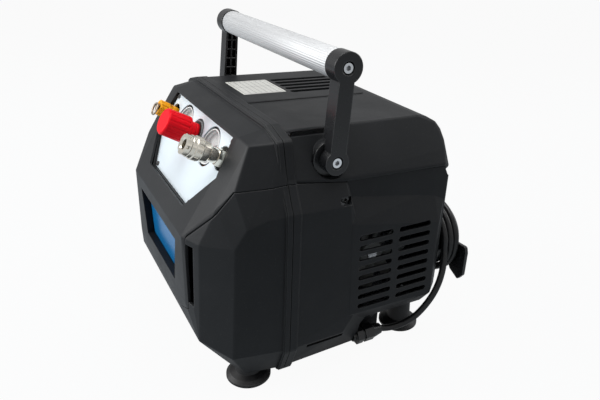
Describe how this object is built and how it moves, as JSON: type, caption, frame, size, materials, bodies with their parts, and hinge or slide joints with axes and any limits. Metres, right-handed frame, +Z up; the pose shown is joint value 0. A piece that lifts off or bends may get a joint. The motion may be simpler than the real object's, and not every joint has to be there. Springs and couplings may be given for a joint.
{
  "type": "portable air compressor",
  "caption": "Portable box-shaped air compressor with moulded black housing, folding tube handle, sloping control panel and wound mains cord.",
  "frame": {"origin": "on the floor at the middle of the overall width and depth, without the cord", "axes": "+X to the vented side with the cord gland, +Y to the rear, +Z up"},
  "size_m": [0.3299, 0.3359, 0.3663],
  "materials": {
    "black_moulding": "moulded with a fine spark-eroded texture",
    "black_smooth": "moulded, satin",
    "panel_plate": "satin powder coat",
    "window_blue": "smooth gloss",
    "tube_aluminium": "extruded and anodised",
    "zinc_steel": "bright zinc plate",
    "black_steel": "black finish",
    "nickel": "satin nickel plate",
    "knob_red": "moulded, gloss",
    "valve_amber": "moulded, gloss",
    "collar_grey": "moulded",
    "gauge_face": "printed dial",
    "needle_black": "painted",
    "clear_lens": "clear polycarbonate",
    "rubber_black": "moulded",
    "steel_plate": "zinc primed sheet",
    "tank_paint": "powder coat",
    "cast_alloy": "die cast",
    "bright_alloy": "turned",
    "motor_steel": "laminated stack, varnished",
    "fan_white": "moulded",
    "brass": "turned",
    "copper_pipe": "drawn",
    "switch_red": "moulded, gloss"
  },
  "bodies": {
    "root": {"front_frame": "black_moulding", "front_lower_shell": "black_moulding", "top_cover": "black_moulding", "rear_lower_shell": "black_moulding", "control_panel": "panel_plate", "window_plate": "window_blue", "chassis_plate": "steel_plate", "front_feet": "rubber_black", "rear_feet": "rubber_black", "foot_screws": "zinc_steel", "shell_screws": "black_steel", "panel_screws": "black_steel", "hinge_washers": "black_smooth", "hinge_bolts": "zinc_steel", "hinge_nuts": "zinc_steel", "handle_straps": "steel_plate", "regulator_body": "collar_grey", "tank_gauge": "gauge_face", "outlet_gauge": "gauge_face", "gauge_lenses": "clear_lens", "coupler_body": "nickel", "safety_valve": "valve_amber", "air_manifold": "cast_alloy", "pressure_switch": "black_smooth", "supply_pipe": "copper_pipe", "air_tank": "tank_paint", "tank_saddles": "steel_plate", "check_valve": "brass", "drain_valve": "brass", "motor_stator": "motor_steel", "fan_shroud": "bright_alloy", "shaft_bearings": "zinc_steel", "capacitor": "collar_grey", "crankcase": "cast_alloy", "pump_cylinder": "cast_alloy", "cylinder_head": "cast_alloy", "intake_filter": "black_smooth", "delivery_pipe": "copper_pipe", "switch_housing": "black_smooth", "winder_right": "black_smooth", "winder_left": "black_smooth", "cord_gland": "black_smooth", "cord_lead": "rubber_black", "cord_winding": "rubber_black", "cord_tail": "rubber_black", "plug": "rubber_black"},
    "handle": {"handle_tube": "tube_aluminium", "handle_arm_right": "black_smooth", "handle_arm_left": "black_smooth", "handle_tube_bolts": "zinc_steel"},
    "pressure_knob": {"regulator_knob": "knob_red"},
    "tank_needle": {"tank_gauge_needle": "needle_black"},
    "outlet_needle": {"outlet_gauge_needle": "needle_black"},
    "release_sleeve": {"coupler_sleeve": "nickel"},
    "relief_pull": {"safety_valve_pull": "zinc_steel"},
    "drain_wing": {"drain_tap": "brass"},
    "rotor": {"rotor_shaft": "zinc_steel", "cooling_fan": "fan_white"},
    "power_rocker": {"switch_rocker": "switch_red"}
  },
  "joints": [
    {"name": "handle_fold", "type": "hinge", "parent": "root", "child": "handle", "pos_m": [0, -0.025, 0.258], "axis": [1, 0, 0], "range_deg": [-50, 57]},
    {"name": "knob_turn", "type": "hinge", "parent": "root", "child": "pressure_knob", "pos_m": [0, -0.135, 0.26032], "axis": [0, 0.8829, -0.4695], "range_deg": [0, 720]},
    {"name": "tank_needle_turn", "type": "hinge", "parent": "root", "child": "tank_needle", "pos_m": [-0.045, -0.11204, 0.24811], "axis": [0, 0.8829, -0.4695], "range_deg": [0, 270]},
    {"name": "outlet_needle_turn", "type": "hinge", "parent": "root", "child": "outlet_needle", "pos_m": [0.045, -0.11204, 0.24811], "axis": [0, 0.8829, -0.4695], "range_deg": [0, 270]},
    {"name": "sleeve_slide", "type": "slide", "parent": "root", "child": "release_sleeve", "axis": [0, -0.8829, 0.4695], "range_m": [-0.005, 0], "stiffness_N_per_m": 1000},
    {"name": "relief_slide", "type": "slide", "parent": "root", "child": "relief_pull", "axis": [0, -0.8829, 0.4695], "range_m": [0, 0.003], "stiffness_N_per_m": 1000},
    {"name": "drain_turn", "type": "hinge", "parent": "root", "child": "drain_wing", "pos_m": [0, -0.056, 0.012], "axis": [0, 0, 1], "range_deg": [0, 270]},
    {"name": "rotor_spin", "type": "hinge", "parent": "root", "child": "rotor", "pos_m": [0, 0.054, 0.118], "axis": [1, 0, 0], "continuous": true},
    {"name": "rocker_tilt", "type": "hinge", "parent": "root", "child": "power_rocker", "pos_m": [-0.062, 0.1295, 0.203], "axis": [1, 0, 0], "range_deg": [0, 16]}
  ]
}
